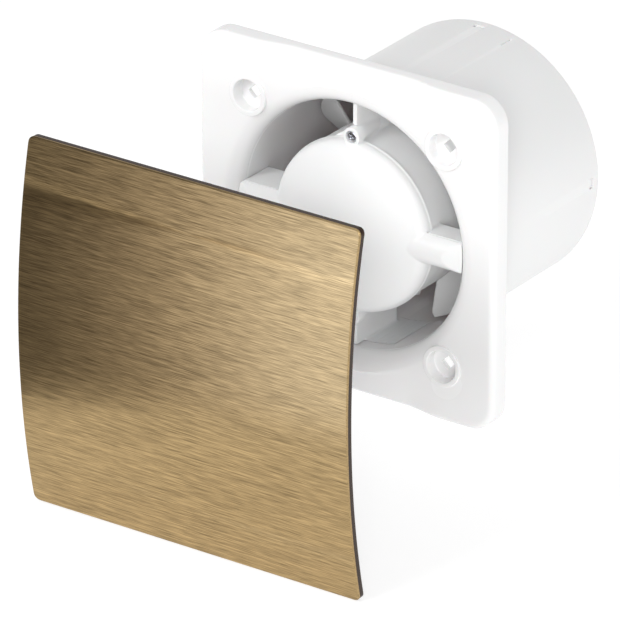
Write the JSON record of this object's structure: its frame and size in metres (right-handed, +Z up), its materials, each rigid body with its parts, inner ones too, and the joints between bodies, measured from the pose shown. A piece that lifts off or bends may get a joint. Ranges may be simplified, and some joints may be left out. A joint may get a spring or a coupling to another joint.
{
  "type": "bathroom extractor fan",
  "caption": "In-line bathroom extractor fan: square white face plate with round duct, domed motor cover and a curved brushed brass panel pulled off in front.",
  "frame": {"origin": "on the duct axis in the wall plane, which is the back of the face plate", "axes": "+Y into the wall along the duct, +X to the right seen from the room, +Z up"},
  "size_m": [0.1748, 0.2348, 0.1894],
  "materials": {
    "face_plate": "glossy white ABS",
    "duct_plastic": "satin white ABS",
    "cover_plastic": "glossy white ABS",
    "screw_steel": "zinc plated, bright",
    "grommet_rubber": "soft black rubber",
    "lamination": "stacked electrical steel, oiled",
    "bobbin_plastic": "natural glass-filled nylon",
    "copper_wire": "enamelled copper wire",
    "rotor_metal": "cast aluminium cage on steel",
    "shaft_steel": "ground steel",
    "bronze": "sintered bronze",
    "bracket_metal": "pressed, satin",
    "terminal_plastic": "ivory nylon",
    "lead_insulation": "brown PVC sleeve",
    "impeller_plastic": "satin white ABS",
    "damper_plastic": "matt white ABS",
    "flap_plastic": "thin translucent polypropylene",
    "spring_steel": "music wire",
    "brushed_brass": "horizontally brushed, satin lacquer",
    "panel_backing": "dark brown, glossy edge",
    "peg_plastic": "matt black nylon"
  },
  "bodies": {
    "housing": {"face_plate": "face_plate", "duct_tube": "duct_plastic", "motor_frame": "duct_plastic", "motor_cover": "cover_plastic", "cover_screws": "screw_steel", "cable_grommet": "grommet_rubber", "stator_stack": "lamination", "bobbin_1": "bobbin_plastic", "bobbin_2": "bobbin_plastic", "bobbin_3": "bobbin_plastic", "bobbin_4": "bobbin_plastic", "winding_1": "copper_wire", "winding_2": "copper_wire", "winding_3": "copper_wire", "winding_4": "copper_wire", "front_bearing": "bronze", "rear_bearing": "bronze", "bearing_bracket": "bracket_metal", "bracket_screws": "screw_steel", "terminal_block": "terminal_plastic", "terminal_screws": "screw_steel", "lead_wires": "lead_insulation", "damper_ring": "damper_plastic", "damper_pin": "shaft_steel", "flap_spring": "spring_steel"},
    "impeller_body": {"rotor": "rotor_metal", "shaft": "shaft_steel", "impeller": "impeller_plastic", "impeller_nut": "screw_steel"},
    "left_flap": {"flap_left": "flap_plastic"},
    "right_flap": {"flap_right": "flap_plastic"},
    "front_panel": {"panel_skin": "brushed_brass", "panel_backing": "panel_backing", "panel_peg_1": "peg_plastic", "panel_peg_2": "peg_plastic", "panel_peg_3": "peg_plastic", "panel_peg_4": "peg_plastic"}
  },
  "joints": [
    {"name": "impeller_spin", "type": "hinge", "parent": "housing", "child": "impeller_body", "pos_m": [0, 0.03, 0], "axis": [0, 1, 0], "continuous": true},
    {"name": "panel_slide", "type": "slide", "parent": "housing", "child": "front_panel", "axis": [0, 0.9758, 0.2185], "range_m": [0, 0.10391]},
    {"name": "left_flap_hinge", "type": "hinge", "parent": "housing", "child": "left_flap", "pos_m": [0, 0.091, 0], "axis": [0, 0, -1], "range_deg": [0, 78], "stiffness_Nm_per_rad": 0.004, "springref_deg": -11.46},
    {"name": "right_flap_hinge", "type": "hinge", "parent": "housing", "child": "right_flap", "pos_m": [0, 0.091, 0], "axis": [0, 0, 1], "range_deg": [0, 78], "stiffness_Nm_per_rad": 0.004, "springref_deg": -11.46}
  ]
}
